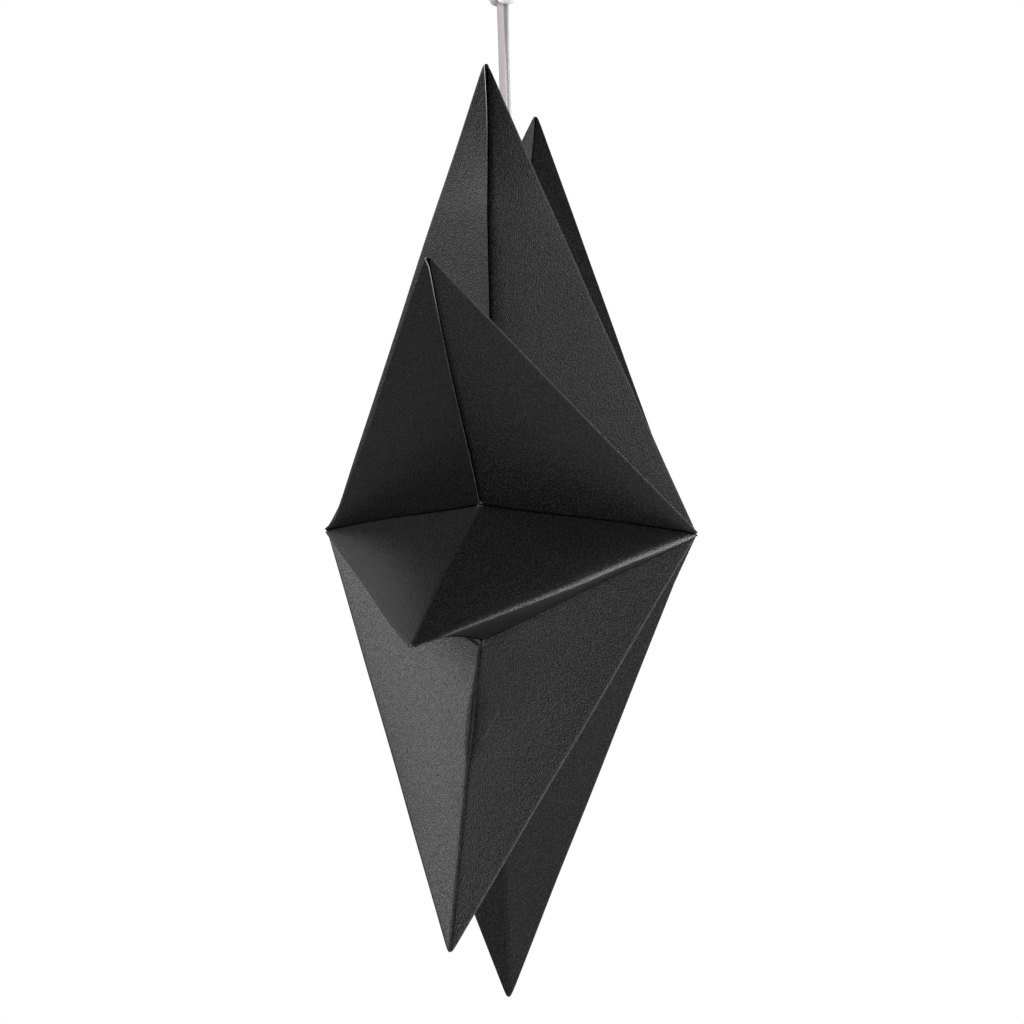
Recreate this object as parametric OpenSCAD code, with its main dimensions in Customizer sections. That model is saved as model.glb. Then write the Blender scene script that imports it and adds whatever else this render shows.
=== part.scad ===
// Hanging star of folded black card.
// Nine equal points, each folded from one sheet into a hollow four-sided peak, are glued
// side by side round the Y axis, and a ribbon loop is caught in the uppermost joint.
// The front apex faces -Y, the back apex faces +Y and the tips lie in the XZ plane.
// Sizes are in millimetres.

/* [Star] */
// Number of folded points
point_count = 9; // [7:1:12]
// Distance from the centre to the blunt tips
tip_r = 225; // [180:1:280]
// Distance from the centre to the valley corners between the points
valley_r = 91.5; // [75:0.5:105]
// Distance from the centre to the front apex and to the back apex
apex_y = 90.5; // [70:0.5:110]

/* [Card] */
// Thickness of the card
card_t = 0.4; // [0.3:0.05:0.55]
// Width of the flaps that glue a point to its neighbours
flap_w = 11; // [7:0.5:16]
// Opening between the two flaps of one side, at the valley corner
flap_mitre = 2; // [1:0.5:6]
// Distance from the axis at which the flaps end
flap_end_r = 9; // [5:0.5:15]
// Radius of the pinhole that the corners leave at an apex
pinhole_r = 1.3; // [1:0.1:3]

/* [Seam] */
// Width of the lap glued under the seam of each point
lap_w = 8; // [5:0.5:12]
// Distance from the tip at which the lap begins
lap_start = 26; // [20:1:40]
// Width of the open line along the seam
seam_gap = 0.5; // [0.2:0.1:1]
// Width of the open mouth at the tip
mouth_w = 3; // [1:0.2:4]
// Length of the open mouth down the seam
mouth_h = 6; // [3:0.5:10]

/* [Ribbon] */
// Width of the ribbon
ribbon_w = 3.2; // [2:0.1:4]
// Thickness of the ribbon
ribbon_t = 0.25; // [0.15:0.05:0.4]
// Length of each ribbon end that is glued into the joint
ribbon_tail = 9.5; // [6:0.5:14]
// Room between the two ribbon ends in the joint
ribbon_room = 0.2; // [0.1:0.1:1]
// Glue on each side of the ribbon, and between two flaps
glue_t = 0.05; // [0.03:0.01:0.1]
// Width of the knot
knot_w = 13; // [11:0.5:16]
// Thickness of the knot
knot_t = 8; // [6:0.5:10]
// Height of the knot
knot_h = 13; // [9:0.5:15]
// Room between the knot and the strands that it holds
knot_clear = 0.25; // [0.2:0.05:0.5]

/* [Hidden] */
half_angle = 180 / point_count;
joint_gap = ribbon_t + 2 * glue_t;
fold_in_r = card_t;
fold_out_r = fold_in_r + card_t;
fold_fn = 16;

// Fold lines of one point, which are the centre lines of the rounded folds: the tip's height,
// the ridges' place at the apex and the side edges' place level with the axis.
tip_c = tip_r - fold_out_r;
apex_c = apex_y - fold_out_r * norm([apex_y, tip_r]) / tip_r;
valley_x = valley_r * sin(half_angle);
valley_drop = tip_c - valley_r * cos(half_angle);
side_lean = atan2(valley_x, valley_drop) - asin(fold_out_r / norm([valley_x, valley_drop]));
side_c = tip_c * tan(side_lean);

// The folds run on below the axis, so that the corners are whole there
skirt = 4 * fold_out_r;
skirt_grow = 1 + skirt / tip_c;

// How far a peak sinks for its walls to move in by the flaps' width, seen in a joint's plane
valley_slope = sin(half_angle) / side_c + cos(half_angle) / tip_c;
flap_sink = flap_w * tip_c * norm([valley_slope, 1 / apex_c]);

// Places across the joint of the ribbon's two ends, and the height at which they end
joint_mid = 1;
front_end = joint_mid - (ribbon_w + ribbon_room) / 2;
back_end = joint_mid + (ribbon_w + ribbon_room) / 2;
tail_z = valley_r - ribbon_tail;

// Ribbon's route: up from the joint, round the loop and back down beside itself
ribbon_route = [
    [0, front_end, tail_z], [0, front_end, valley_r],
    [0.3, -1.2, 110], [0.5, -2.1, 140], [0.5, -3.2, 170],
    [0.5, -4.3, 200], [0.5, -5.4, 230], [0.5, -6.2, 252], [0.5, -6.3, 266], [3, -6.2, 272],
    [7, -6, 280], [8, -5.7, 290], [5, -5.4, 298], [0, -5.2, 301], [-5, -4.9, 298],
    [-8, -4.6, 290], [-7, -4.3, 280], [-3, -4, 272], [-0.5, -3.9, 266], [-0.5, -3.8, 252],
    [-0.5, -3, 230], [-0.5, -1.9, 200], [-0.5, -0.8, 170], [-0.5, 0.3, 140],
    [-0.3, 1.6, 110], [0, back_end, valley_r], [0, back_end, tail_z]
];
knot_at = [0, -5.1, 259];
ribbon_steps = 3;

function point_name(i) = str("star_point_", i);

// Closed peak over one point's fold lines, with its edges rounded to r
module peak(r) {
    hull() {
        translate([0, 0, tip_c])
            sphere(r = r, $fn = fold_fn);
        for (side = [-1, 1]) {
            translate([side * side_c * skirt_grow, 0, -skirt])
                sphere(r = r, $fn = fold_fn);
            translate([0, side * apex_c * skirt_grow, -skirt])
                sphere(r = r, $fn = fold_fn);
        }
    }
}

// Closed peak with sharp edges on the fold lines themselves
module sharp_peak() {
    side_end = side_c * skirt_grow;
    apex_end = apex_c * skirt_grow;
    polyhedron(
        points = [
            [0, 0, tip_c],
            [side_end, 0, -skirt],
            [0, apex_end, -skirt],
            [-side_end, 0, -skirt],
            [0, -apex_end, -skirt]
        ],
        faces = [[0, 2, 1], [0, 3, 2], [0, 4, 3], [0, 1, 4], [1, 2, 3, 4]]
    );
}

// Share of the star that one point takes, with both side planes moved in by inset
module sector(inset) {
    reach = tip_r + skirt;
    half_reach = reach * tan(half_angle);
    translate([0, 0, inset / sin(half_angle)])
        rotate([90, 0, 0])
            linear_extrude(height = 2 * (apex_y + skirt), center = true)
                polygon([[0, 0], [half_reach, reach], [-half_reach, reach]]);
}

// Round bar along the star's axis
module axis_bar(r) {
    rotate([90, 0, 0])
        cylinder(r = r, h = 2 * (apex_y + skirt), center = true, $fn = 24);
}

// Open line down the seam, with a mouth at the tip that narrows into it
module seam_opening() {
    translate([(fold_in_r + fold_out_r) / 2, 0, 0]) {
        rotate([90, 0, 90])
            linear_extrude(height = side_c)
                polygon([[-mouth_w / 2, tip_r], [mouth_w / 2, tip_r], [0, tip_r - mouth_h]]);
        translate([0, -seam_gap / 2, 0])
            cube([side_c, seam_gap, tip_r]);
    }
}

// Room inside one point, which leaves its facets and its four glue flaps
module hollow() {
    intersection() {
        peak(fold_in_r);
        union() {
            sector(joint_gap / 2 + card_t);
            translate([0, 0, -flap_sink])
                sharp_peak();
            axis_bar(flap_end_r);
            cube([2 * side_c, flap_mitre, 2 * tip_r], center = true);
        }
    }
}

// Facets folded round the tip and flaps bent in along the valleys, open along the seam at +X
module folded_sheet() {
    difference() {
        intersection() {
            peak(fold_out_r);
            sector(joint_gap / 2);
        }
        hollow();
        seam_opening();
        axis_bar(pinhole_r);
    }
}

// Lap that runs from the back facet under the front one, bedded in the glue
module seam_lap() {
    intersection() {
        difference() {
            peak(fold_in_r + glue_t);
            sharp_peak();
        }
        sector(joint_gap / 2 + 2 * card_t);
        translate([0, -lap_w, 0])
            cube([side_c, lap_w + seam_gap + card_t, tip_r - lap_start]);
    }
}

// One point of the star, folded from one sheet of card
module star_point(i) {
    color("#2b2b2c")
        rotate([0, (2 * i - 1) * half_angle, 0]) {
            folded_sheet();
            seam_lap();
        }
}

// Point on a smooth curve through the route, between the route's points k and k + 1
function on_route(k, u) =
    let (last = len(ribbon_route) - 1,
         before = ribbon_route[max(k - 1, 0)],
         from = ribbon_route[k],
         to = ribbon_route[min(k + 1, last)],
         after = ribbon_route[min(k + 2, last)])
    from + (to - before) * u / 2
        + (2 * before - 5 * from + 4 * to - after) * u * u / 2
        + (3 * from - before - 3 * to + after) * u * u * u / 2;

function unit(v) = v / norm(v);

// Flat section of the ribbon, eight corners, with the width first
ribbon_section = [
    for (turn = [[1, 1], [-1, 1], [-1, -1], [1, -1]])
        for (flip = [0, 1])
            let (first = turn[0] * turn[1] > 0 ? flip : 1 - flip)
            first == 0
                ? [turn[0] * ribbon_w / 2, turn[1] * ribbon_t / 4]
                : [turn[0] * (ribbon_w / 2 - ribbon_t), turn[1] * ribbon_t / 2]
];

// Ribbon that hangs the star, swept along its route with its width kept along Y
module hanging_ribbon() {
    last = len(ribbon_route) - 1;
    line = [
        for (k = [0:last - 1])
            for (s = [0:ribbon_steps - 1])
                on_route(k, s / ribbon_steps),
        ribbon_route[last]
    ];
    rings = len(line);
    corners = len(ribbon_section);
    points = [
        for (k = [0:rings - 1])
            let (ahead = unit(line[min(k + 1, rings - 1)] - line[max(k - 1, 0)]),
                 across = unit([0, 1, 0] - ahead[1] * ahead),
                 out = cross(ahead, across))
            for (corner = ribbon_section)
                line[k] + corner[0] * across + corner[1] * out
    ];
    sides = [
        for (k = [0:rings - 2])
            for (c = [0:corners - 1])
                let (a = k * corners + c,
                     b = k * corners + (c + 1) % corners)
                for (half = [[a, b, b + corners], [a, b + corners, a + corners]])
                    [half[2], half[1], half[0]]
    ];
    start_cap = [for (c = [0:corners - 1]) c];
    end_cap = [for (c = [corners - 1:-1:0]) (rings - 1) * corners + c];
    color("#b9aeb9")
        polyhedron(points = points, faces = concat(sides, [start_cap, end_cap]));
}

// Knot that draws the two strands together under the loop
module ribbon_knot() {
    strand_y = ribbon_w + abs(ribbon_route[8][1] - ribbon_route[18][1]);
    strand_x = ribbon_t + abs(ribbon_route[8][0] - ribbon_route[18][0]);
    ball_r = knot_t / 2;
    color("#b9aeb9")
        translate(knot_at)
            difference() {
                hull()
                    for (y = [-1, 1])
                        for (z = [-1, 1])
                            translate([0, y * (knot_w / 2 - ball_r), z * (knot_h / 2 - ball_r)])
                                sphere(r = ball_r, $fn = 24);
                cube([strand_x + 2 * knot_clear, strand_y + 2 * knot_clear, 2 * knot_h], center = true);
            }
}

for (i = [1:point_count])
    star_point(i);
hanging_ribbon();
ribbon_knot();
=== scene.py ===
import math

import bmesh
import bpy
from mathutils import Matrix, Vector, noise


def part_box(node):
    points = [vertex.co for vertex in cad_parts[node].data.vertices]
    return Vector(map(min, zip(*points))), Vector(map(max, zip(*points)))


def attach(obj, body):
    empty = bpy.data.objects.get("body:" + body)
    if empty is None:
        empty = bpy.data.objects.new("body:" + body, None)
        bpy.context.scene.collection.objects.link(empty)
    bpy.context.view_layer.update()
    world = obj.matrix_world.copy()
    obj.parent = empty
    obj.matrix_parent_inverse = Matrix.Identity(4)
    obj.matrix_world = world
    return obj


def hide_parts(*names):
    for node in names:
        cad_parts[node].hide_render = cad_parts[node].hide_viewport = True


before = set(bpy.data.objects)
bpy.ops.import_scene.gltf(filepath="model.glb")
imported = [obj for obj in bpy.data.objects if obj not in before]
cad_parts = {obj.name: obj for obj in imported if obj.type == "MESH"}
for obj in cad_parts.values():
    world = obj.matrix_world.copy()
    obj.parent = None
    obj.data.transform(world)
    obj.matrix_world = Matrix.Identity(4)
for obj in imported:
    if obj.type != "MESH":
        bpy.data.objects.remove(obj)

MM = 0.001
scene = bpy.context.scene
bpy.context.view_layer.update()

# One seed, so that the card's unevenness is the same at every run
noise.seed_set(9)


def ease(t):
    """Smooth step from 0 to 1."""
    t = min(max(t, 0.0), 1.0)
    return t * t * (3 - 2 * t)


# Camera, almost in the plane of the tips and level with the star

def place_camera():
    azimuth, elevation, roll = (math.radians(a) for a in (99.62, 0.89, 0.29))
    back = Vector((
        math.sin(azimuth) * math.cos(elevation),
        -math.cos(azimuth) * math.cos(elevation),
        math.sin(elevation),
    ))
    right = (-back).cross(Vector((0, 0, 1))).normalized()
    up = right.cross(-back)
    aim = 0.7 * MM * right + 10.1 * MM * up
    distance = 1.0753
    turn = Matrix.Rotation(roll, 3, back)
    axes = Matrix((turn @ right, turn @ up, back)).transposed()
    data = bpy.data.cameras.new("camera")
    data.sensor_width = 36
    data.sensor_fit = "HORIZONTAL"
    data.lens = 78.48
    data.clip_start = 0.05
    data.clip_end = 30
    camera = bpy.data.objects.new("camera", data)
    camera.matrix_world = Matrix.Translation(aim + distance * back) @ axes.to_4x4()
    scene.collection.objects.link(camera)
    scene.camera = camera


place_camera()


# Shader helpers

# Marks on the card are drawn only past this X, on the side that faces the camera
NEAR_SIDE = 60 * MM


class Shader:
    """Node tree of one material or group, built call by call."""

    def __init__(self, tree):
        self.tree = tree
        tree.nodes.clear()

    def node(self, kind, inputs=(), **settings):
        made = self.tree.nodes.new(kind)
        for name, value in settings.items():
            setattr(made, name, value)
        for key, value in dict(inputs).items():
            if isinstance(value, bpy.types.NodeSocket):
                self.tree.links.new(value, made.inputs[key])
            else:
                made.inputs[key].default_value = value
        return made

    def math(self, operation, a, b=0.0, clamp=False):
        return self.node("ShaderNodeMath", {0: a, 1: b}, operation=operation, use_clamp=clamp).outputs[0]

    def spread(self, value, low, high, to_low=0.0, to_high=1.0):
        return self.node(
            "ShaderNodeMapRange",
            {"Value": value, "From Min": low, "From Max": high, "To Min": to_low, "To Max": to_high},
        ).outputs[0]

    def mix(self, factor, a, b, blend="MIX"):
        made = self.node("ShaderNodeMix", {0: factor, 6: a, 7: b}, data_type="RGBA", blend_type=blend)
        return made.outputs[2]

    def noise(self, vector, scale, detail=2.0, roughness=0.5):
        return self.node(
            "ShaderNodeTexNoise",
            {"Vector": vector, "Scale": scale, "Detail": detail, "Roughness": roughness},
        ).outputs["Fac"]

    def vector(self, operation, a, b, output=0):
        return self.node("ShaderNodeVectorMath", {0: a, 1: b}, operation=operation).outputs[output]

    def stroke(self, place, start, end, width):
        """Mask of a thin straight mark on the near side, between two places in Y and Z in millimetres."""
        a, b = (Vector((0, y, z)) * MM for y, z in (start, end))
        run = b - a
        flat = self.vector("SUBTRACT", self.vector("MULTIPLY", place, (0, 1, 1)), a)
        along = self.vector("DOT_PRODUCT", flat, run, "Value")
        share = self.math("DIVIDE", along, run.length_squared, clamp=True)
        foot = self.node("ShaderNodeVectorMath", {0: run, "Scale": share}, operation="SCALE").outputs[0]
        away = self.vector("DISTANCE", flat, foot, "Value")
        x = self.node("ShaderNodeSeparateXYZ", {0: place}).outputs[0]
        near_side = self.spread(x, NEAR_SIDE, NEAR_SIDE + MM)
        return self.math("MULTIPLY", near_side, self.spread(away, width * MM, 0.0))


def group(name, inputs, outputs):
    tree = bpy.data.node_groups.new(name, "ShaderNodeTree")
    for socket, kind in inputs:
        tree.interface.new_socket(socket, in_out="INPUT", socket_type=kind)
    for socket, kind in outputs:
        tree.interface.new_socket(socket, in_out="OUTPUT", socket_type=kind)
    shader = Shader(tree)
    return shader, shader.node("NodeGroupInput"), shader.node("NodeGroupOutput")


def material(name):
    made = bpy.data.materials.new(name)
    made.use_nodes = True
    return made, Shader(made.node_tree)


def finish_surface(shader, inputs):
    surface = shader.node("ShaderNodeBsdfPrincipled", inputs)
    shader.node("ShaderNodeOutputMaterial", {"Surface": surface.outputs[0]})


def paper_fibre():
    """Grain of uncoated card: clumped fibres, fine flecks, pale fibres and a faint cloudiness."""
    shader, given, out = group(
        "paper_fibre",
        [("Vector", "NodeSocketVector")],
        [(n, "NodeSocketFloat") for n in ("Tone", "Height", "Cloud", "Pale")],
    )
    place = given.outputs["Vector"]
    clumps = shader.noise(place, 520.0, 2.0, 0.6)
    flecks = shader.noise(place, 1650.0, 1.0, 0.6)
    cloud = shader.noise(place, 38.0, 3.0, 0.55)
    pale = shader.noise(place, 1350.0, 1.0, 0.6)
    grain = shader.math("ADD", shader.math("MULTIPLY", clumps, 0.1), shader.math("MULTIPLY", flecks, 0.9))
    links = shader.tree.links
    links.new(shader.spread(grain, 0.35, 0.65, 0.05, 1.95), out.inputs["Tone"])
    links.new(grain, out.inputs["Height"])
    links.new(cloud, out.inputs["Cloud"])
    links.new(shader.spread(pale, 0.46, 0.68), out.inputs["Pale"])
    return shader.tree


FIBRE = paper_fibre()


# Colours of the card: red, green, blue and alpha
DYE = (0.0016, 0.0016, 0.0016, 1)
PALE_FIBRE = (0.022, 0.0217, 0.0214, 1)
WORN_FOLD = (0.075, 0.073, 0.072, 1)
CUT_DARK = (0.012, 0.012, 0.012, 1)
CUT_LIGHT = (0.07, 0.069, 0.068, 1)
RUBBED = (0.62, 0.60, 0.60, 1)

# Marks on the fourth point, as ends in Y and Z in millimetres: a pale scuff, and a nick with its lip
SCUFF = ((10.4, -76.6), (4.6, -89.3))
NICK = ((-6.7, -45.3), (-0.9, -47.8))
NICK_LIP = ((-0.2, -45.1), (0.1, -47.7))
PALE_WIDTH, NICK_WIDTH = 0.7, 0.8


def black_card():
    """Dyed black card, matt with a slight sheen, worn pale where it is folded."""
    made, shader = material("black_card")
    place = shader.node("ShaderNodeTexCoord").outputs["Object"]
    fibre = shader.node("ShaderNodeGroup", node_tree=FIBRE)
    shader.tree.links.new(place, fibre.inputs["Vector"])
    tone, height, cloud, pale = (fibre.outputs[n] for n in ("Tone", "Height", "Cloud", "Pale"))
    level = shader.math("MULTIPLY", tone, shader.spread(cloud, 0.3, 0.7, 0.9, 1.1))
    dyed = shader.mix(1.0, DYE, level, "MULTIPLY")
    dyed = shader.mix(pale, dyed, PALE_FIBRE)
    folds = shader.node("ShaderNodeAttribute", attribute_name="fold_wear").outputs["Fac"]
    broken = shader.spread(shader.noise(place, 260.0, 3.0, 0.7), 0.30, 0.55, 0.35, 1.0)
    wear = shader.math("MULTIPLY", folds, broken, clamp=True)
    for (start, end), amount in ((SCUFF, 0.32), (NICK_LIP, 0.9)):
        mark = shader.math("MULTIPLY", shader.stroke(place, start, end, PALE_WIDTH), amount)
        wear = shader.math("MAXIMUM", wear, shader.math("MULTIPLY", mark, broken))
    nick = shader.stroke(place, *NICK, NICK_WIDTH)
    colour = shader.mix(wear, dyed, WORN_FOLD)
    bump = shader.node("ShaderNodeBump", {"Strength": 0.7, "Distance": 0.0004, "Height": height})
    finish_surface(shader, {
        "Base Color": colour,
        "Roughness": shader.math("ADD", shader.spread(tone, 0.4, 1.6, 0.46, 0.36), nick, clamp=True),
        "Specular IOR Level": 0.227,
        "Normal": bump.outputs[0],
    })
    return made


def card_edge():
    """Cut edge of the card, a little paler than its faces, and pale where it is rubbed."""
    made, shader = material("card_edge")
    place = shader.node("ShaderNodeTexCoord").outputs["Object"]
    fray = shader.noise(place, 900.0, 3.0, 0.7)
    colour = shader.mix(shader.spread(fray, 0.3, 0.7), CUT_DARK, CUT_LIGHT)
    rubbed = shader.node("ShaderNodeAttribute", attribute_name="fold_wear").outputs["Fac"]
    colour = shader.mix(rubbed, colour, RUBBED)
    bump = shader.node("ShaderNodeBump", {"Strength": 0.4, "Distance": 0.0002, "Height": fray})
    finish_surface(shader, {
        "Base Color": colour,
        "Roughness": 0.8,
        "Specular IOR Level": 0.1,
        "Normal": bump.outputs[0],
    })
    return made


# Weave of the satin
STREAKS_ACROSS = 26.0
STREAKS_PER_M = 60.0
RIB_RATE = 11000.0  # radians per metre


def satin(name, dark, light, painted_side_shade):
    """Woven satin: fine threads along its length, a soft sheen, a firm selvedge, and painted shade that
    darkens one side as if the cupped ribbon turned from the light.
    """
    made, shader = material(name)
    run = shader.node("ShaderNodeUVMap", uv_map="weave").outputs["UV"]
    split = shader.node("ShaderNodeSeparateXYZ", {"Vector": run})
    across, along = split.outputs["X"], split.outputs["Y"]
    drawn = shader.node("ShaderNodeCombineXYZ", {
        "X": shader.math("MULTIPLY", across, STREAKS_ACROSS),
        "Y": shader.math("MULTIPLY", along, STREAKS_PER_M),
    }).outputs[0]
    threads = shader.noise(drawn, 1.0, 3.0, 0.6)
    ribs = shader.math("SINE", shader.math("MULTIPLY", along, RIB_RATE))
    middle = shader.math("ABSOLUTE", shader.math("SUBTRACT", across, 0.5))
    selvedge = shader.spread(middle, 0.40, 0.47)
    colour = shader.mix(shader.spread(threads, 0.3, 0.7), (*dark, 1), (*light, 1))
    colour = shader.mix(shader.math("MULTIPLY", selvedge, 0.35), colour, (*(1.08 * c for c in light), 1))
    # Painted shade: the side where the weave's width starts is darkened by the given share, standing in
    # for the side of a cupped ribbon that turns from the light
    colour = shader.mix(1.0, colour, shader.spread(across, 0.0, 0.75, 1 - painted_side_shade, 1.0), "MULTIPLY")
    height = shader.math("ADD", threads, shader.math("MULTIPLY", ribs, 0.12))
    bump = shader.node("ShaderNodeBump", {"Strength": 0.3, "Distance": 0.0001, "Height": height})
    finish_surface(shader, {
        "Base Color": colour,
        "Roughness": shader.spread(threads, 0.3, 0.7, 0.36, 0.5),
        "Sheen Weight": 0.3,
        "Normal": bump.outputs[0],
    })
    return made


CARD_FACE, CARD_CUT = black_card(), card_edge()
# The last number of each satin is its share of painted shade on one side
SATIN = satin("satin", (0.54, 0.465, 0.52), (0.68, 0.595, 0.655), 0.2)
# Painted shade: the back strand's satin is the knot's grey-green made darker, for the strand that hangs
# behind the first
SATIN_BACK_SHADED = satin("satin_back_shaded", (0.44, 0.44, 0.435), (0.56, 0.56, 0.55), 0.0)
SATIN_KNOT = satin("satin_knot", (0.67, 0.68, 0.675), (0.78, 0.79, 0.785), 0.0)


def piece(name, mesh, materials, slot, *nodes):
    """Object of the star that stands for its CAD nodes."""
    for each in materials:
        mesh.materials.append(each)
    made = bpy.data.objects.new(name, mesh)
    scene.collection.objects.link(made)
    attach(made, "root")
    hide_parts(*nodes)
    return made


# Ribbon and knot

RIBBON_W, RIBBON_T = 3.2 * MM, 0.25 * MM
RIBBON_SHARP_ANGLE = 50  # degrees
ROUTE_STEPS = 6

KNOT_BAND = 2.1 * MM  # half width of the doubled band that is tied
KNOT_STEPS = 120
KNOT_CORNERS = 20
KNOT_FLATNESS = 0.82
KNOT_INSET = (0.9, 0.85, 0.85)  # of the band's line from the knot's box, in half widths of the band
KNOT_TWIST = 0.35  # radians that the band twists to and fro about its own line
KNOT_ASIDE = 0.3 * KNOT_BAND
TREFOIL_SIZE = 2.65  # about how far the formula of a trefoil reaches from its middle

# Route of the ribbon in millimetres, and the angle in degrees that it is turned about its own line
ROUTE = [
    (0, -0.7, 82, 0), (0, -0.7, 91.5, 0), (0.3, -1.2, 110, 2), (0.5, -2.1, 140, 5), (0.5, -3.2, 170, 6),
    (0.5, -4.3, 200, 4), (0.5, -5.4, 230, 2), (0.5, -6.2, 252, 0), (0.5, -6.3, 266, 0), (3, -6.2, 272, 0),
    (7, -6, 280, 0), (8, -5.7, 290, 0), (5, -5.4, 298, 0), (0, -5.2, 301, 0), (-5, -4.9, 298, 0),
    (-8, -4.6, 290, 0), (-7, -4.3, 280, 0), (-3, -4, 272, 0), (-0.5, -3.9, 266, 0), (-0.5, -3.8, 252, 12),
    (-0.5, -3, 230, 30), (-0.5, -1.9, 200, 38), (-0.5, -0.8, 170, 38), (-0.5, 0.3, 140, 30),
    (-0.3, 1.6, 110, 12), (0, 2.7, 91.5, 0), (0, 2.7, 82, 0),
]


def along_route(route, steps):
    """Smooth curve through a route's points, as tuples of the same numbers."""
    curve = []
    last = len(route) - 1
    for k in range(last):
        before, start, end, after = (route[min(max(k + j, 0), last)] for j in (-1, 0, 1, 2))
        for s in range(steps):
            u = s / steps
            curve.append(tuple(
                b + (c - a) * u / 2
                + (2 * a - 5 * b + 4 * c - d) * u * u / 2
                + (3 * b - a - 3 * c + d) * u**3 / 2
                for a, b, c, d in zip(before, start, end, after)
            ))
    return curve + [tuple(route[last])]


def band_section(width, thick):
    """Closed flat section with a rounded, slightly thicker selvedge: places across and out."""
    half = width / 2
    top = [
        (-1.0, 0.0), (-0.97, 0.55), (-0.88, 0.62), (-0.75, 0.5),
        (0.0, 0.5), (0.75, 0.5), (0.88, 0.62), (0.97, 0.55),
    ]
    return [(a * half, o * thick) for a, o in top] + [(-a * half, -o * thick) for a, o in top]


def sweep(name, line, turns, section, closed, side):
    """Mesh of a flat section carried along a line, its width near the side direction."""
    bm = bmesh.new()
    weave = bm.loops.layers.uv.new("weave")
    count, corners = len(line), len(section)
    rings, run, lengths = [], 0.0, []
    for k, place in enumerate(line):
        if closed:
            ahead = (line[(k + 1) % count] - line[k - 1]).normalized()
        else:
            ahead = (line[min(k + 1, count - 1)] - line[max(k - 1, 0)]).normalized()
        across = (side(k) - side(k).dot(ahead) * ahead).normalized()
        across = Matrix.Rotation(turns[k], 3, ahead) @ across
        out = ahead.cross(across)
        rings.append([bm.verts.new(place + a * across + o * out) for a, o in section])
        lengths.append(run)
        if k + 1 < count:
            run += (line[k + 1] - place).length
    spans = [(k, k + 1) for k in range(count - 1)] + ([(count - 1, 0)] if closed else [])
    half = corners // 2
    for k, after in spans:
        for c in range(corners):
            d = (c + 1) % corners
            face = bm.faces.new((rings[k][c], rings[k][d], rings[after][d], rings[after][c]))
            u = [min(c, corners - c) / half, min(c + 1, corners - c - 1) / half]
            end = lengths[after] if after > k else run
            places = ((u[0], lengths[k]), (u[1], lengths[k]), (u[1], end), (u[0], end))
            for loop, uv in zip(face.loops, places):
                loop[weave].uv = uv
    if not closed:
        bm.faces.new(rings[0])
        bm.faces.new(rings[-1])
    bmesh.ops.recalc_face_normals(bm, faces=bm.faces[:])
    mesh = bpy.data.meshes.new(name)
    bm.to_mesh(mesh)
    bm.free()
    mesh.shade_smooth()
    mesh.set_sharp_from_angle(angle=math.radians(RIBBON_SHARP_ANGLE))
    return mesh


def hang_ribbon():
    """Ribbon on its route: its first strand shows the satin's face, its second strand the grey-green
    back, darkened by painted shade.
    """
    curve = along_route(ROUTE, ROUTE_STEPS)
    line = [Vector(p[:3]) * MM for p in curve]
    turns = [math.radians(p[3]) for p in curve]
    section = band_section(RIBBON_W, RIBBON_T)
    mesh = sweep("ribbon", line, turns, section, False, lambda k: Vector((0, 1, 0)))
    # The second half of the faces, the strand behind, takes the darker satin with painted shade
    for face in mesh.polygons:
        face.material_index = int(face.index > len(mesh.polygons) / 2)
    ribbon = piece("ribbon", mesh, [SATIN, SATIN_BACK_SHADED], "grey_ribbon", "hanging_ribbon")
    length = sum((b - a).length for a, b in zip(line, line[1:]))
    return ribbon, line, length


def knot_section():
    """Fat oval section of the doubled band, a little ridged: places across and out."""
    section = []
    for j in range(KNOT_CORNERS):
        a = 2 * math.pi * (j + 0.5) / KNOT_CORNERS
        across = KNOT_BAND * math.cos(a) * (1.0 + 0.08 * math.cos(4 * a))
        out = KNOT_FLATNESS * KNOT_BAND * math.sin(a) * (1.0 + 0.05 * math.cos(6 * a))
        section.append((across, out))
    return section


def tie_knot():
    """Overhand knot drawn tight: a fat doubled band that crosses itself three times round the strands."""
    low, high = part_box("ribbon_knot")
    middle, half = (low + high) / 2, (high - low) / 2
    room = [size - share * KNOT_BAND for size, share in zip(half, KNOT_INSET)]
    line, turns = [], []
    for k in range(KNOT_STEPS):
        t = 2 * math.pi * k / KNOT_STEPS
        x = -math.sin(3 * t)
        y = (math.sin(t) + 2 * math.sin(2 * t)) / TREFOIL_SIZE
        z = (2 * math.cos(2 * t) - math.cos(t)) / TREFOIL_SIZE
        line.append(middle + Vector((x * room[0], y * room[1], z * room[2])))
        turns.append(KNOT_TWIST * math.sin(2 * t))
    aside = Vector((KNOT_ASIDE, 0, 0))
    mesh = sweep("knot", line, turns, knot_section(), True, lambda k: line[k] - middle + aside)
    return piece("knot", mesh, [SATIN_KNOT], "grey_ribbon", "ribbon_knot")


ribbon, ribbon_line, ribbon_length = hang_ribbon()
knot = tie_knot()


# Folded points

COUNT = 9
HALF = math.pi / COUNT  # half of the angle that a point takes
CARD = 0.4 * MM
FOLD = 2 * CARD  # outer radius of the folds in the CAD

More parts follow.
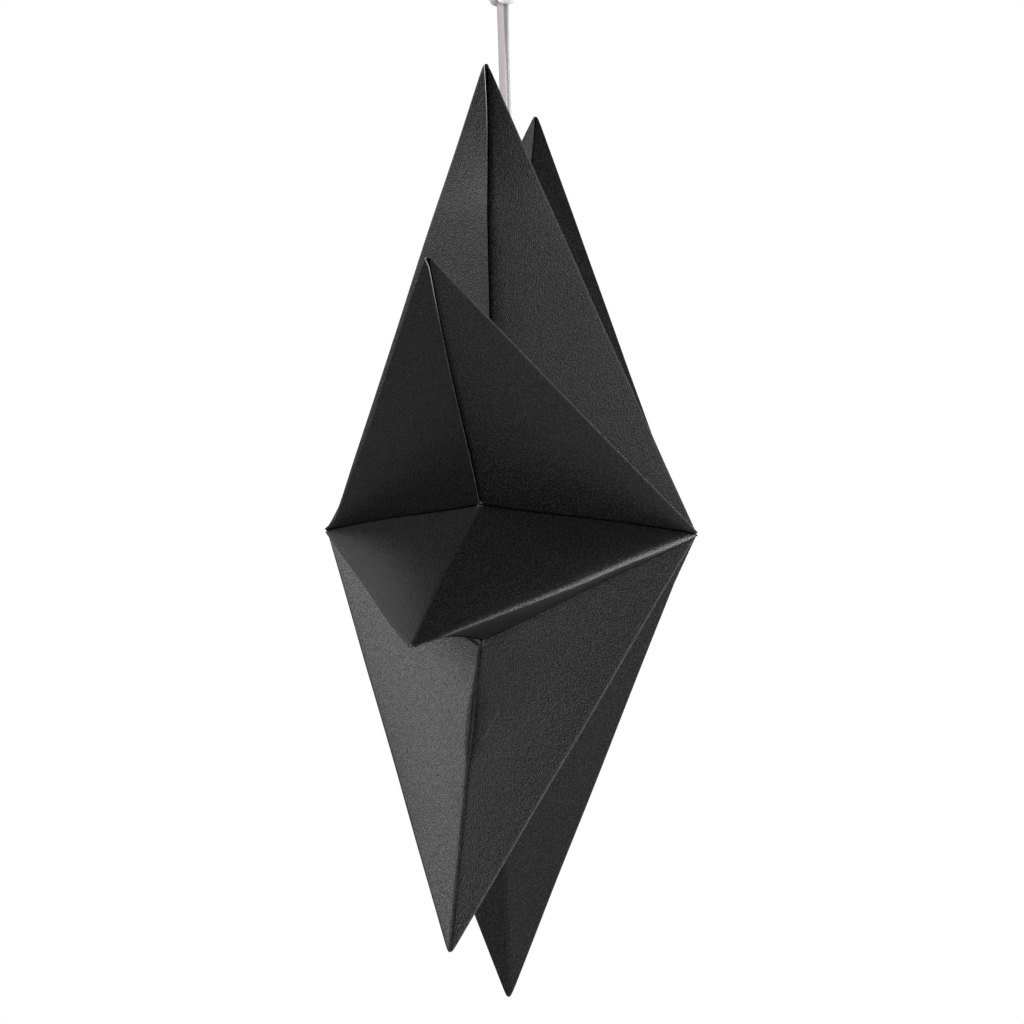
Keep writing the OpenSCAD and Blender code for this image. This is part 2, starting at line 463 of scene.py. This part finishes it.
# Sharp corners of one point, from the box of the point that hangs straight down
low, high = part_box("star_point_5")
TIP = -low.z
PINHOLE = -high.z
apex = high.y * TIP / (TIP - PINHOLE)
tip_fold = TIP - FOLD
apex_fold = apex - FOLD * math.hypot(apex, TIP) / TIP
drop = tip_fold - high.x / math.tan(HALF)
lean = math.atan2(high.x, drop) - math.asin(FOLD / math.hypot(high.x, drop))
side_fold = tip_fold * math.tan(lean)
slope = Vector((1 / side_fold, 1 / apex_fold, 1 / tip_fold))
SIDE, DEPTH, PEAK = ((1 + FOLD * slope.length) * v for v in (side_fold, apex_fold, tip_fold))
NORMAL = slope.normalized()
CORNER_Z = SIDE / (math.tan(HALF) + SIDE / PEAK)
CORNER_X = CORNER_Z * math.tan(HALF)
RIDGE_SLOPE = NORMAL.x / math.hypot(NORMAL.y, NORMAL.z)
SIDE_SLOPE = NORMAL.y / math.hypot(NORMAL.x, NORMAL.z)

# Flaps and laps
JOINT = 0.32 * MM  # distance of a flap's curled edge from the plane of its joint
CURL = 0.28 * MM  # how far a facet's edge curls over towards that plane
CURL_WIDTH = 0.35 * MM  # width of the curled edge
GLUE = 0.03 * MM  # half the glue between two flaps
FLAP_WIDTH = 10.5 * MM
FLAP_MITRE = 1 * MM  # distance of the flaps from the plane through the tips
FLAP_END = 0.9 * MM  # distance of the flaps from the star's axis
LAP_WIDTH = 8 * MM
LAP_START = 26 * MM  # distance of the lap from the tip

# Lines along which a flat sheet is cut into cells
RING_STEP = 6.5 * MM
RING_COUNT = 33
TIP_RINGS = [d * MM for d in (7.5, 5, 3.2, 1.8, 0.6, -0.8)]  # below the blunt tip, and above it
FOLD_LINES = [d * MM for d in (0.3, 0.7, 1.2, 2.4)]  # beside every fold
FOLD_LINE_STOP = 6  # distance from the tip at which such a line ends, in its distances from the fold
RAY_COUNT = 6
RAY_STOP = 24 * MM  # distance from the tip at which the rays across the facets end
DENT_LINES = [d * MM for d in (1.8, 3.0, 3.6)]  # beside a dented fold, on its front
DENT_RINGS = 12
DENT_MARGIN = 6 * MM
SMALLEST = 0.02 * MM  # cells smaller than this are closed
TINY = 1e-6  # what is smaller counts as nothing
ON_JOINT = 5 * TINY  # an edge this close to the end of the facets at a joint lies along it

# Unevenness of the folded card
RIDGE_ROUND = 0.55 * MM  # half width of a rounded ridge
SEAM_STEEP = 1.3  # how much steeper the back facet turns in at the seam than at a fold
SAG_AT = 160 * MM  # distance from the axis of the middle of a sagging seam
SAG_REACH = 75 * MM
SAG_WIDTH = 0.9  # share of a facet's width over which a sag dies away
SAG_MARGIN = 1 * MM
PRESS_END = 65 * MM  # distance from the tip at which a pressed seam stands out again
PRESS_MARGIN = 0.5 * MM
FREE_REACH = 14 * MM  # distance from a joint at which the card ripples freely
FLAT_STRIP = 7 * MM  # width of the strip beside a fold in which the ripples die away
RIPPLE = 0.22 * MM  # height of the ripples in a facet
RIPPLES_PER_M = 42
DRIFT = 0.4 * MM  # how far whole stretches of a sheet drift
DRIFTS_PER_M = 17
NOISE_SHIFT = (3.1, 1.7, 5.3)  # from the noise of one point to that of the next
FLARE_END = 15 * MM  # distance from the axis at which a flared corner begins to flare
FLARE_TAPER = 1.5
BLUNT = 2 * MM  # how softly the tips are blunted
LEAN_FROM = 0.42  # share of the height above which a tip leans
LEAN_TAPER = 1.2
LAP_STEP = CARD + 0.05 * MM  # how far the back facet dips under the front one
LAP_STEP_REACH = 9 * MM
LAP_STEP_START = 2 * MM  # distance from the tip at which that dip begins
LAP_STEP_GROWTH = 6 * MM  # length over which it grows
MOUTH_TOP = 2.5 * MM  # length below the tip over which a mouth opens
MOUTH_TAPER = 1.3
MOUTH_REACH = 5 * MM  # distance from the seam within which the lips part
MOUTH_ROOT = 0.8 * MM  # distance from the ridges at which they are free to part
LIP_GAP = 0.1 * MM  # how far the front lip stands back from the seam's line
LIP_WIDTH = 0.2 * MM
LIP_WEAR_END = 38 * MM  # distance from the tip at which the wear of a lip ends
SIDE_WEAR = 0.5 * MM  # half width of the wear on a side fold
TIP_WEAR = 5 * MM  # length of the wear at a tip
DENT = (107 * MM, 141 * MM)  # lower and upper end of a dented side fold, from the axis
DENT_RECOVERY = 3 * MM  # distance behind the fold at which the card is flat again
DENT_SHARE = 0.5  # how much of the fold's height the dent takes
DENT_TAPER = 0.35
SHARP_ANGLE = 40  # degrees

# Places where the glued star was pushed out of true: centre, shift and reach in millimetres
PUSHES = [((90, 0, 16), (0, 1.5, -1.6), 85)]

# How a point came out of the hands that folded it, in millimetres where nothing else is said
PLAIN = dict(
    front=0.0,  # how far its front corner stands out
    back=0.0,  # how far its back corner stands out
    flare=0.0,  # flare of its front corner
    tip=(0.0, 0.0, 0.0),  # shift of its tip
    mouth=0.6,  # half width of the mouth at its tip
    mouth_len=16.0,  # length of that mouth
    side_round=0.9,  # half width of its rounded side fold
    seam_round=1.2,  # half width of the rounded back facet at its seam
    back_round=0.0,  # how much rounder its back ridge is by the apex
    sag=0.0,  # how far its seam sags
    press=0.0,  # how much its seam is pressed in below the tip, as a share of the distance from the tip
    dent=0.0,  # width of the dent in its side fold
    gaps=(0.0, 0.0),  # how open its joints are, by the fold and by the seam
    bow=(0.4, -0.3, -0.4, 0.3),  # bow of its facets: front by the fold and the seam, then back by both
    wear=(0.5, 0.5, 0.4, 0.1),  # wear of its front, back and side folds and of its tip, from 0 to 1
    lip=0.0,  # wear of the lip of its seam, from 0 to 1
    black_rim=False,  # whether its cut edges are as black as its faces
)
MADE = {
    1: dict(
        front=-1.9, back=-0.8, flare=3.2, tip=(0, 0.7, 0.5), mouth_len=24, seam_round=2.8, press=0.12,
        wear=(0.45, 0.35, 0.4, 0), lip=0.9,
    ),
    2: dict(
        front=-1.9, back=0.5, flare=4.6, tip=(-2.0, -1.2, 0), mouth=2.0, mouth_len=9, seam_round=2.2,
        gaps=(0, 0.3), wear=(0.4, 0.8, 0.5, 0.3), lip=0.55,
    ),
    3: dict(
        front=0.8, back=0.8, tip=(0, -0.6, 0.3), mouth=0.4, side_round=0.6, back_round=2.6, sag=3.4,
        gaps=(0.2, 0), bow=(3.0, 0, 2.0, 0), wear=(0.15, 0, 0.1, 1), black_rim=True,
    ),
    4: dict(
        back=-1.0, tip=(0, -0.2, 0.5), mouth=0.5, side_round=1.4, dent=3.1, bow=(1.3, -0.3, -0.4, 0.3),
        wear=(0.4, 0.85, 0.35, 0.2),
    ),
    5: dict(back=-2.5, side_round=2.0, wear=(0.3, 0.5, 0.2, 0.2)),
    6: dict(back=-1.0, wear=(0.6, 0.4, 0.5, 0.3)),
    7: dict(front=-1.0, wear=(0.4, 0.7, 0.5, 0.1)),
    8: dict(back=-1.5, mouth=0.8, wear=(0.6, 0.5, 0.4, 0.2)),
    9: dict(back=-5.5, tip=(0, -1.0, 1.4), wear=(0.4, 0.5, 0.5, 0)),
}


def joint_axes(side):
    """Directions out through the plane of a joint, and along it away from the star's axis."""
    away = Vector((side * math.cos(HALF), 0, -math.sin(HALF)))
    radial = Vector((side * math.sin(HALF), 0, math.cos(HALF)))
    return away, radial


def inset(made, side):
    """Distance from a joint's plane at which the facets begin to turn into their flaps."""
    return JOINT + CURL + made["gaps"][0 if side < 0 else 1] * MM


def fade(distance, reach):
    """Falls straight from 1 to 0 over the reach."""
    return max(0.0, 1 - distance / reach)


def cut(bm, place, normal, clear=False, below=None):
    """Cuts a sheet along a plane, everywhere or only below a height, and may clear what lies past it."""
    faces = [f for f in bm.faces if below is None or f.calc_center_median().z < below]
    edges = {e for f in faces for e in f.edges}
    verts = {v for f in faces for v in f.verts}
    bmesh.ops.bisect_plane(
        bm, geom=[*verts, *edges, *faces], dist=TINY, plane_co=place, plane_no=normal, clear_outer=clear,
    )


def face_outwards(bm):
    """Turns the faces of an open sheet so that its highest one looks up."""
    bmesh.ops.recalc_face_normals(bm, faces=bm.faces[:])
    bm.normal_update()
    highest = max(bm.faces, key=lambda f: f.calc_center_median().z)
    if highest.normal.z < 0:
        bmesh.ops.reverse_faces(bm, faces=bm.faces[:])


def creased_sheet(made):
    """Four flat facets round the tip, open along the seam at +X, cut into cells along their folds."""
    bm = bmesh.new()
    tip = bm.verts.new((0, 0, PEAK))
    front = bm.verts.new((0, -(DEPTH + made["front"] * MM), 0))
    back = bm.verts.new((0, DEPTH + made["back"] * MM, 0))
    fold = bm.verts.new((-CORNER_X, 0, CORNER_Z))
    seam_front, seam_back = (bm.verts.new((CORNER_X, 0, CORNER_Z)) for _ in range(2))
    for a, b in ((front, fold), (seam_front, front), (back, seam_back), (fold, back)):
        bm.faces.new((tip, a, b))
    face_outwards(bm)
    for z in [RING_STEP * k for k in range(1, RING_COUNT + 1)] + [TIP - d for d in TIP_RINGS]:
        cut(bm, (0, 0, z), (0, 0, 1))
    for k in range(1, RAY_COUNT):
        share = k / RAY_COUNT
        for sign in (-1, 1):
            cut(bm, (0, 0, 0), ((1 - share) / SIDE, sign * share / DEPTH, 0), below=TIP - RAY_STOP)
    for line in FOLD_LINES:
        top = PEAK - FOLD_LINE_STOP * line
        for sign in (-1, 1):
            cut(bm, (sign * line, 0, 0), (1, 0, 0), below=top)
            cut(bm, (0, sign * line, 0), (0, 1, 0), below=top)
    if made["dent"]:
        for line in DENT_LINES:
            cut(bm, (0, -line, 0), (0, 1, 0), below=DENT[1] + DENT_MARGIN)
        for k in range(1, DENT_RINGS):
            cut(bm, (0, 0, DENT[0] + k / DENT_RINGS * (DENT[1] - DENT[0])), (0, 0, 1))
    for side in (-1, 1):
        away, _ = joint_axes(side)
        cut(bm, -away * inset(made, side), away, clear=True)
    cut(bm, (0, 0, PINHOLE), (0, 0, -1), clear=True)
    return bm


class Spot:
    """One place on the flat facets of a point, as the folds round it see it."""

    def __init__(self, place, facing, made):
        self.place = place
        self.facing = facing
        self.side = -1 if place.x < 0 else 1
        self.from_ridge = abs(place.x)
        self.from_side = abs(place.y)
        self.below = PEAK - place.z
        self.depth = DEPTH + made["front" if facing < 0 else "back"] * MM
        self.side_out = Vector((self.side * NORMAL.x, 0, NORMAL.z)).normalized()
        from_joint = place.z * math.sin(HALF) - self.from_ridge * math.cos(HALF)
        self.free = ease((from_joint - inset(made, self.side)) / FREE_REACH)


def round_folds(spot, made):
    """Rounding of the ridges and the side fold, and of the fold into the lap at the seam."""
    move = Vector()
    width = RIDGE_ROUND
    if spot.facing > 0:
        width += made["back_round"] * MM * (1 - spot.place.z / PEAK)
    if spot.from_ridge < width:
        lower = RIDGE_SLOPE * (width - spot.from_ridge) ** 2 / (2 * width)
        way = min(max(spot.place.y / MM, -1.0), 1.0)
        move -= lower * Vector((0, way * NORMAL.y, NORMAL.z)).normalized()
    width = made["side_round" if spot.side < 0 else "seam_round"] * MM
    if (spot.side < 0 or spot.facing > 0) and spot.from_side < width:
        steep = SIDE_SLOPE * (1.0 if spot.side < 0 else SEAM_STEEP)
        move -= spot.side_out * steep * (width - spot.from_side) ** 2 / (2 * width)
    return move


def sink_seam(spot, made):
    """Seam that sags along its middle or is pressed in below its tip."""
    if spot.side < 0:
        return Vector()
    half_depth = spot.depth * (1 - spot.place.z / PEAK)
    sag = made["sag"] * MM * max(0.0, 1 - ((spot.place.z - SAG_AT) / SAG_REACH) ** 2)
    press = made["press"] * spot.below * fade(spot.below, PRESS_END)
    sag *= fade(spot.from_side, SAG_WIDTH * half_depth + SAG_MARGIN)
    press *= fade(spot.from_side, half_depth + PRESS_MARGIN)
    return -spot.side_out * (sag + press)


def bow_facets(spot, made, number):
    """Facets that bow a little, of card that is not quite flat."""
    share_f, share_s = spot.from_side / spot.depth, spot.from_ridge / CORNER_X
    # 1 in the middle of a facet and 0 along its edges
    bubble = 27 * share_f * share_s * max(0.0, 1 - share_f - share_s)
    bow = made["bow"][(spot.facing > 0) * 2 + (spot.side > 0)] * MM
    normal = Vector((spot.side * NORMAL.x, spot.facing * NORMAL.y, NORMAL.z))
    clear = ease(spot.from_ridge / FLAT_STRIP) * ease(spot.from_side / FLAT_STRIP) * spot.free
    seed = Vector([number * shift for shift in NOISE_SHIFT])
    ripple = RIPPLE * clear * noise.noise(spot.place * RIPPLES_PER_M + seed)
    drift = DRIFT * spot.free * noise.noise_vector(spot.place * DRIFTS_PER_M + seed)
    return normal * (bow * bubble + ripple) + drift


def shape_corners(spot, made):
    """Flared front corner, and a blunt tip that may lean."""
    move = Vector()
    z = spot.place.z
    if spot.facing < 0:
        move.y -= made["flare"] * MM * fade(z, FLARE_END) ** FLARE_TAPER
    rise = TIP - z
    move.z += rise - (rise + math.hypot(rise, BLUNT)) / 2
    leaning = max(0.0, (z / PEAK - LEAN_FROM) / (1 - LEAN_FROM)) ** LEAN_TAPER
    return move + Vector(made["tip"]) * MM * leaning


def part_lips(spot, made):
    """Seam where the back facet runs under the front one, with lips that part at the tip."""
    move = Vector()
    if spot.side < 0:
        return move
    if spot.facing > 0:
        dip = LAP_STEP * ease((spot.below - LAP_STEP_START) / LAP_STEP_GROWTH)
        dip *= fade(spot.from_side, LAP_STEP_REACH)
        move -= dip * Vector((NORMAL.x, -NORMAL.y, NORMAL.z))
    opening = ease(spot.below / MOUTH_TOP) * fade(spot.below, made["mouth_len"] * MM) ** MOUTH_TAPER
    near = fade(spot.from_side, MOUTH_REACH) * ease(spot.from_ridge / MOUTH_ROOT)
    move.y += spot.facing * made["mouth"] * MM * opening * near
    if spot.facing < 0 and spot.from_side < LIP_WIDTH:
        move.y -= LIP_GAP
    return move


def dent_fold(spot, made):
    """Dent that flattens the front of the side fold."""
    along = (spot.place.z - DENT[0]) / (DENT[1] - DENT[0])
    if spot.side > 0 or not made["dent"] or not 0 < along < 1:
        return Vector()
    width = made["dent"] * MM * math.sin(math.pi * along) ** DENT_TAPER
    y = spot.place.y
    pressed = max(0.0, width + y) if y < 0 else width * fade(y, DENT_RECOVERY)
    return -spot.side_out * SIDE_SLOPE * DENT_SHARE * pressed


def settled(place, facing, made, number):
    """How far a place on the flat facets moves as the card takes its folded shape."""
    spot = Spot(place, facing, made)
    move = bow_facets(spot, made, number)
    for change in (round_folds, sink_seam, shape_corners, part_lips, dent_fold):
        move += change(spot, made)
    return move


def worn(place, facing, made):
    """How pale the card is worn at a place on the flat facets, from 0 to 1."""
    front, back, side, tip = made["wear"]
    below = PEAK - place.z
    marks = [
        (front if place.y < 0 else back) * fade(abs(place.x), RIDGE_ROUND),
        tip * fade(below, TIP_WEAR),
    ]
    if place.x < 0:
        marks.append(side * fade(abs(place.y), SIDE_WEAR))
    elif facing < 0:
        marks.append(made["lip"] * fade(below, LIP_WEAR_END) * fade(abs(place.y), LIP_WIDTH))
    return max(marks)


def front_or_back(vert):
    """-1 for a vertex of the front facets, 1 for one of the back facets."""
    lean = vert.co.y if abs(vert.co.y) > TINY else sum(f.normal.y for f in vert.link_faces)
    return -1 if lean < -TINY else 1


def open_edges(bm, made):
    """Open edges of a flat sheet: those along its two joints, by side, and the back one of its seam."""
    joints = {side: [] for side in (-1, 1)}
    seam = []
    for e in bm.edges:
        if not e.is_boundary:
            continue
        ends = [v.co for v in e.verts]
        for side in joints:
            away, _ = joint_axes(side)
            if all(abs(-p.dot(away) - inset(made, side)) < ON_JOINT for p in ends):
                joints[side].append(e)
        on_seam = all(abs(p.y) < TINY and p.x > TINY and p.z < TIP - LAP_START for p in ends)
        if on_seam and e.link_faces[0].normal.y > 0:
            seam.append(e)
    return joints, seam


def extrude_strip(bm, edges):
    """New strip of faces along open edges: its outer vertices and its outer edges."""
    new = bmesh.ops.extrude_edge_only(bm, edges=edges)["geom"]
    verts = [g for g in new if isinstance(g, bmesh.types.BMVert)]
    ends = set(verts)
    return verts, [g for g in new if isinstance(g, bmesh.types.BMEdge) and ends.issuperset(g.verts)]


def bend_flaps(bm, joints, made, wear):
    """Flaps that curl over at the valleys and run in until they meet their neighbours'."""
    for side, edges in joints.items():
        away, radial = joint_axes(side)
        for width, outward in ((CURL_WIDTH, CURL), (FLAP_WIDTH, inset(made, side) - CURL - GLUE)):
            verts, edges = extrude_strip(bm, edges)
            for v in verts:
                axial = Vector((0, -1 if v.co.y < 0 else 1, 0))
                inward = (-DEPTH * radial - CORNER_Z / math.cos(HALF) * axial).normalized()
                room = min(
                    (abs(v.co.y) - FLAP_MITRE) / abs(inward.y),
                    (v.co.dot(radial) - FLAP_END) / -inward.dot(radial),
                )
                v.co += inward * min(width, max(SMALLEST, room)) + away * outward
                v[wear] = 0.0


def glue_lap(bm, seam, wear):
    """Lap that runs from the back facet under the front one."""
    front_facet = Vector((NORMAL.x, -NORMAL.y, NORMAL.z))
    inward = front_facet.cross(Vector((SIDE, 0, -PEAK)).normalized())
    inward *= -1 if inward.y > 0 else 1
    for v in extrude_strip(bm, seam)[0]:
        v.co += inward * LAP_WIDTH
        v[wear] = 0.0


def push_out_of_true(bm):
    """Shifts what lies near each push, most at its centre."""
    for centre, shift, reach in PUSHES:
        for v in bm.verts:
            far = (v.co - Vector(centre) * MM).length / (reach * MM)
            if far < 1:
                v.co += Vector(shift) * MM * (1 - far * far) ** 2


def thicken(point, rim):
    """Gives a folded sheet the card's thickness, inwards, and its cut edges the material rim slots on."""
    sheet = point.data
    thick = point.modifiers.new("card", "SOLIDIFY")
    thick.thickness = CARD
    thick.offset = -1
    thick.use_quality_normals = True
    thick.material_offset_rim = rim
    graph = bpy.context.evaluated_depsgraph_get()
    solid = bpy.data.meshes.new_from_object(point.evaluated_get(graph))
    point.modifiers.clear()
    point.data = solid
    bpy.data.meshes.remove(sheet)
    solid.name = point.name
    solid.shade_smooth()
    solid.set_sharp_from_angle(angle=math.radians(SHARP_ANGLE))


def fold_point(number):
    """One point of the star, from its creased sheet to its place round the axis."""
    made = {**PLAIN, **MADE[number]}
    bm = creased_sheet(made)
    bm.normal_update()
    wear = bm.verts.layers.float.new("fold_wear")
    joints, seam = open_edges(bm, made)
    facing = {v: front_or_back(v) for v in bm.verts}
    for v in bm.verts:
        v[wear] = worn(v.co, facing[v], made)
        v.co += settled(v.co.copy(), facing[v], made, number)
    bend_flaps(bm, joints, made, wear)
    glue_lap(bm, seam, wear)
    bmesh.ops.dissolve_degenerate(bm, dist=SMALLEST, edges=bm.edges[:])
    face_outwards(bm)
    turn = Matrix.Rotation((2 * number - 1) * HALF, 3, "Y")
    bmesh.ops.rotate(bm, verts=bm.verts[:], cent=(0, 0, 0), matrix=turn)
    push_out_of_true(bm)
    name = f"point_{number}"
    mesh = bpy.data.meshes.new(name)
    bm.to_mesh(mesh)
    bm.free()
    point = piece(name, mesh, [CARD_FACE, CARD_CUT], "black_card", f"star_point_{number}")
    thicken(point, 0 if made["black_rim"] else 1)


for number in range(1, COUNT + 1):
    fold_point(number)


# Stage and light

FLOOR_R, FLOOR_Z = 1.7, -1.25


def lay_floor():
    """Pale round floor, well below the hanging star."""
    bm = bmesh.new()
    bmesh.ops.create_circle(bm, cap_ends=True, segments=96, radius=FLOOR_R)
    bmesh.ops.translate(bm, verts=bm.verts[:], vec=(0, 0, FLOOR_Z))
    mesh = bpy.data.meshes.new("floor")
    bm.to_mesh(mesh)
    bm.free()
    made, shader = material("pale_floor")
    finish_surface(shader, {"Base Color": (0.80, 0.80, 0.80, 1), "Roughness": 0.9})
    mesh.materials.append(made)
    floor = bpy.data.objects.new("floor", mesh)
    scene.collection.objects.link(floor)


def area_light(name, direction, distance, size, power):
    """Soft square lamp that looks at the star's centre."""
    data = bpy.data.lights.new(name, "AREA")
    data.shape = "SQUARE"
    data.size = size
    data.energy = power
    lamp = bpy.data.objects.new(name, data)
    way = Vector(direction).normalized()
    lamp.location = way * distance
    lamp.rotation_euler = way.to_track_quat("Z", "Y").to_euler()
    scene.collection.objects.link(lamp)


def white_room(ambient):
    """White behind the star for the camera, and a plain grey room for everything else."""
    world = bpy.data.worlds.new("room")
    world.use_nodes = True
    scene.world = world
    shader = Shader(world.node_tree)
    seen = shader.node("ShaderNodeLightPath").outputs["Is Camera Ray"]
    room = shader.node("ShaderNodeBackground", {"Color": (1, 1, 1, 1), "Strength": ambient})
    backdrop = shader.node("ShaderNodeBackground", {"Color": (1, 1, 1, 1), "Strength": 1.0})
    both = shader.node("ShaderNodeMixShader", {0: seen, 1: room.outputs[0], 2: backdrop.outputs[0]})
    shader.node("ShaderNodeOutputWorld", {"Surface": both.outputs[0]})


lay_floor()
white_room(ambient=0.134)

# Lamps: direction from the star, distance, size and power
area_light("key", (0.22, -0.82, 0.50), 1.6, 0.9, 32.0)
area_light("side", (0.40, -0.90, 0.10), 1.6, 0.8, 6.8)
area_light("fill", (0.32, 0.92, 0.20), 1.6, 1.0, 26.0)
area_light("low_fill", (0.50, 0.70, -0.50), 1.6, 0.9, 4.2)
area_light("back_left", (-0.86, -0.45, 0.20), 1.8, 0.9, 1.1)
area_light("back_right", (-0.88, 0.45, -0.05), 1.8, 0.9, 18.5)

scene.view_settings.view_transform = "Standard"
